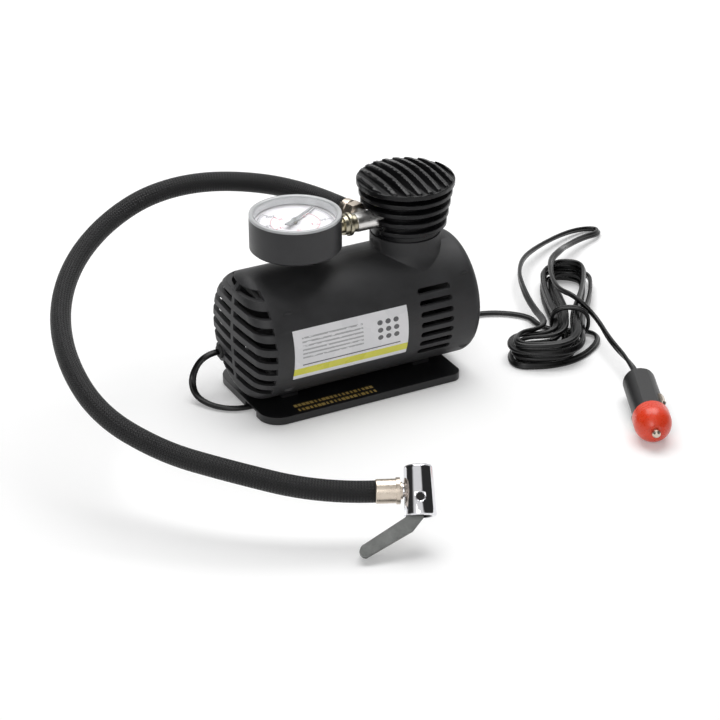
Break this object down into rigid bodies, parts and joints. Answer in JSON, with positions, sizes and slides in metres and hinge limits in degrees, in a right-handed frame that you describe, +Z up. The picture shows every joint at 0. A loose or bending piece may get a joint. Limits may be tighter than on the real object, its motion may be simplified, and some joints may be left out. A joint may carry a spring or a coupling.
{
  "type": "tire inflator",
  "caption": "Portable 12 V mini air compressor: barrel housing on a base plate, finned cylinder head, dial gauge, hose with lever chuck, and a tied cord with a lighter-socket plug.",
  "frame": {"origin": "on the surface the base stands on, under the middle of the barrel housing's box", "axes": "+Z up, +X along the barrel towards the finned cylinder head, -Y the labelled front"},
  "size_m": [0.4188, 0.2886, 0.1218],
  "materials": {
    "black_abs": "fine matte grain",
    "black_gloss": "semi-gloss",
    "black_rubber": "matte",
    "steel": "bright zinc",
    "cast_alloy": "as cast",
    "brass": "turned",
    "chrome": "polished",
    "clear_lens": "clear polished",
    "dial_white": "printed plate",
    "needle_grey": "painted",
    "label_white": "laminated sticker",
    "gear_nylon": "natural nylon",
    "iron": "laminated",
    "copper": "segmented",
    "cord_black": "satin PVC",
    "cap_red": "gloss",
    "fuse_glass": "glass tube"
  },
  "bodies": {
    "pump_unit": {"housing_front": "black_abs", "housing_rear": "black_abs", "housing_screws": "steel", "base_plate": "black_abs", "base_screws": "steel", "rubber_feet": "black_rubber", "gearbox_frame": "cast_alloy", "motor_can": "steel", "motor_end_cap": "black_abs", "magnets": "iron", "gear_bush": "brass", "cylinder_barrel": "cast_alloy", "valve_plate": "steel", "cylinder_head": "cast_alloy", "outlet_spring": "steel", "cylinder_screws": "steel", "head_cover": "black_gloss", "tee_fitting": "brass", "gauge_stem": "brass", "gauge_case": "black_abs", "gauge_lens": "clear_lens", "gauge_dial": "dial_white", "bourdon_tube": "brass", "hose_nut": "brass", "pump_ferrule": "steel", "hose": "black_rubber", "chuck_ferrule": "brass", "chuck_body": "chrome", "chuck_pin": "steel", "chuck_seal": "black_rubber", "side_label": "label_white", "cord_grommet": "cord_black", "cord_lead": "cord_black", "cord_hank": "cord_black", "cord_tail": "cord_black", "cord_tie": "cord_black", "plug_body": "black_gloss", "plug_cap": "cap_red", "plug_fuse": "fuse_glass"},
    "rotor": {"armature": "iron", "commutator": "copper", "motor_shaft": "steel", "motor_pinion": "steel"},
    "reduction_gear": {"drive_gear": "gear_nylon", "gear_shaft": "steel"},
    "piston_rod": {"crank_pin": "steel", "connecting_rod": "gear_nylon", "piston_cup": "black_rubber", "cup_retainer": "cast_alloy"},
    "valve_disc": {"outlet_valve": "black_rubber"},
    "needle": {"gauge_needle": "needle_grey", "needle_spindle": "brass"},
    "sector": {"gauge_sector": "brass"},
    "lever": {"chuck_lever": "cast_alloy"},
    "plunger": {"chuck_plunger": "brass"},
    "tip": {"plug_tip": "chrome"},
    "contact_a": {"plug_side_contact_a": "steel"},
    "contact_b": {"plug_side_contact_b": "steel"}
  },
  "joints": [
    {"name": "motor_spin", "type": "hinge", "parent": "pump_unit", "child": "rotor", "pos_m": [0.016, 0, 0.05249], "axis": [1, 0, 0], "continuous": true},
    {"name": "drive_gear_spin", "type": "hinge", "parent": "pump_unit", "child": "reduction_gear", "pos_m": [0.02, 0, 0.0295], "axis": [1, 0, 0], "continuous": true},
    {"name": "piston_slide", "type": "slide", "parent": "pump_unit", "child": "piston_rod", "axis": [0, 0, 1], "range_m": [0, 0.011]},
    {"name": "outlet_valve_lift", "type": "slide", "parent": "pump_unit", "child": "valve_disc", "axis": [0, 0, 1], "range_m": [0, 0.0008], "stiffness_N_per_m": 120, "springref_m": -0.0008, "deforming": ["outlet_spring"]},
    {"name": "sector_turn", "type": "hinge", "parent": "pump_unit", "child": "sector", "pos_m": [-0.0319, -0.01563, 0.102], "axis": [0, 0, 1], "range_deg": [0, 45]},
    {"name": "needle_turn", "type": "hinge", "parent": "pump_unit", "child": "needle", "pos_m": [-0.0319, -0.003, 0.106], "axis": [0, 0, 1], "range_deg": [-270, 0]},
    {"name": "lever_swing", "type": "hinge", "parent": "pump_unit", "child": "lever", "pos_m": [-0.04751, -0.17146, 0.02478], "axis": [0.3145, 0.6981, -0.6432], "range_deg": [0, 33]},
    {"name": "plunger_slide", "type": "slide", "parent": "pump_unit", "child": "plunger", "axis": [0.2642, 0.5865, 0.7657], "range_m": [0, 0.0012]},
    {"name": "tip_press", "type": "slide", "parent": "pump_unit", "child": "tip", "axis": [0.4239, 0.9057, 0], "range_m": [0, 0.003], "stiffness_N_per_m": 600, "springref_m": -0.001},
    {"name": "contact_a_press", "type": "slide", "parent": "pump_unit", "child": "contact_a", "axis": [-0.6624, 0.31, -0.682], "range_m": [0, 0.0016], "stiffness_N_per_m": 500, "springref_m": -0.001},
    {"name": "contact_b_press", "type": "slide", "parent": "pump_unit", "child": "contact_b", "axis": [0.6624, -0.31, 0.682], "range_m": [0, 0.0016], "stiffness_N_per_m": 500, "springref_m": -0.001}
  ],
  "couplings": [
    {"joint": "drive_gear_spin", "follows": "motor_spin", "ratio": -0.22},
    {"joint": "needle_turn", "follows": "sector_turn", "ratio": -6},
    {"joint": "plunger_slide", "follows": "lever_swing", "m_per_rad": 0.0020835}
  ]
}
